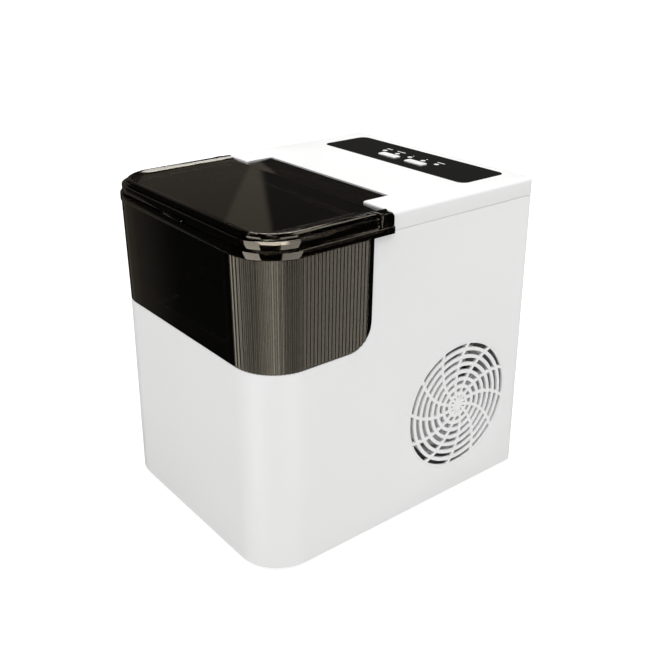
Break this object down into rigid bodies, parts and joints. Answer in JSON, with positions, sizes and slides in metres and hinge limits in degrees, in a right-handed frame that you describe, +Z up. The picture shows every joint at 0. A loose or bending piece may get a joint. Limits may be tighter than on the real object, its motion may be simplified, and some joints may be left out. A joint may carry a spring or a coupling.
{
  "type": "countertop ice maker",
  "caption": "Countertop ice maker with a white rounded casing, ribbed smoked window, hinged smoked lid, top control panel and a round spiral fan grille on its right side.",
  "frame": {"origin": "centre of the bounding box on the surface that the feet stand on", "axes": "+X to the right (fan grille side), +Y to the back, +Z up; the lid and window are at the front, -Y"},
  "size_m": [0.248, 0.304, 0.2975],
  "materials": {
    "white_shell": "smooth satin gloss",
    "smoked_window": "polished, smoked, transparent",
    "smoked_lid": "polished, smoked, transparent",
    "black_panel": "fine satin film",
    "button_white": "satin",
    "light_white": "milky",
    "circuit": "solder resist",
    "steel": "plated",
    "plated_copper": "nickel plated",
    "black_rubber": "matte",
    "base_grey": "moulded",
    "tank_plastic": "moulded",
    "foam": "expanded foam",
    "basket_plastic": "translucent",
    "handle_grey": "moulded",
    "fan_grey": "moulded",
    "black_plastic": "moulded",
    "black_enamel": "enamel",
    "fin_aluminium": "thin sheet",
    "copper_tube": "drawn copper",
    "hose": "silicone",
    "wire": "sleeved"
  },
  "bodies": {
    "main": {"outer_casing": "white_shell", "fan_grille": "white_shell", "top_cover": "white_shell", "rear_cover": "white_shell", "front_window": "smoked_window", "control_panel": "black_panel", "indicator_lights": "light_white", "control_board": "circuit", "base_screws": "steel", "rear_cover_screws": "steel", "board_screws": "steel", "hinge_pins": "steel", "evaporator": "plated_copper", "rubber_feet": "black_rubber", "compressor_grommets": "black_rubber", "base_pan": "base_grey", "drain_spout": "base_grey", "inner_tank": "tank_plastic", "ice_chute": "tank_plastic", "tray_bearing": "tank_plastic", "insulation": "foam", "fan_shroud": "fan_grey", "fan_motor": "black_plastic", "tray_motor": "black_plastic", "ice_full_sensor": "black_plastic", "water_level_sensor": "black_plastic", "water_pump": "black_plastic", "compressor_relay_box": "black_plastic", "power_inlet": "black_plastic", "compressor": "black_enamel", "condenser": "fin_aluminium", "discharge_line": "copper_tube", "liquid_line": "copper_tube", "capillary_line": "copper_tube", "suction_line": "copper_tube", "filter_drier": "copper_tube", "power_inlet_pins": "copper_tube", "hot_gas_valve": "copper_tube", "pump_inlet_hose": "hose", "water_feed_hose": "hose", "drain_hose": "hose", "wiring_harness": "wire"},
    "lid": {"lid_frame": "smoked_lid", "lid_panel": "smoked_lid"},
    "fan": {"fan_rotor": "fan_grey", "fan_shaft": "steel"},
    "power_button": {"button_power": "button_white"},
    "select_button": {"button_select": "button_white"},
    "tray": {"water_tray": "basket_plastic"},
    "shovel": {"ice_shovel": "basket_plastic"},
    "basket": {"ice_basket": "basket_plastic"},
    "handle": {"basket_handle": "handle_grey"},
    "cap": {"drain_cap": "black_rubber"}
  },
  "joints": [
    {"name": "lid_hinge", "type": "hinge", "parent": "main", "child": "lid", "pos_m": [0, -0.005, 0.2915], "axis": [-1, 0, 0], "range_deg": [0, 100]},
    {"name": "fan_spin", "type": "hinge", "parent": "main", "child": "fan", "pos_m": [0.099, 0.0663, 0.0938], "axis": [1, 0, 0], "continuous": true},
    {"name": "button_power_press", "type": "slide", "parent": "main", "child": "power_button", "axis": [0, 0, -1], "range_m": [0, 0.0008], "stiffness_N_per_m": 500, "springref_m": -0.002},
    {"name": "button_select_press", "type": "slide", "parent": "main", "child": "select_button", "axis": [0, 0, -1], "range_m": [0, 0.0008], "stiffness_N_per_m": 500, "springref_m": -0.002},
    {"name": "tray_tilt", "type": "hinge", "parent": "main", "child": "tray", "pos_m": [0, -0.038, 0.222], "axis": [-1, 0, 0], "range_deg": [0, 105]},
    {"name": "shovel_swing", "type": "hinge", "parent": "main", "child": "shovel", "pos_m": [0, -0.038, 0.222], "axis": [1, 0, 0], "range_deg": [0, 66]},
    {"name": "basket_lift", "type": "slide", "parent": "main", "child": "basket", "axis": [0, 0, 1], "range_m": [0, 0.07]},
    {"name": "handle_fold", "type": "hinge", "parent": "basket", "child": "handle", "pos_m": [0, -0.101, 0.176], "axis": [-1, 0, 0], "range_deg": [0, 90]},
    {"name": "drain_cap_pull", "type": "slide", "parent": "main", "child": "cap", "axis": [0, 1, 0], "range_m": [0, 0.015]}
  ],
  "couplings": [
    {"joint": "shovel_swing", "follows": "tray_tilt", "ratio": 0.62}
  ]
}
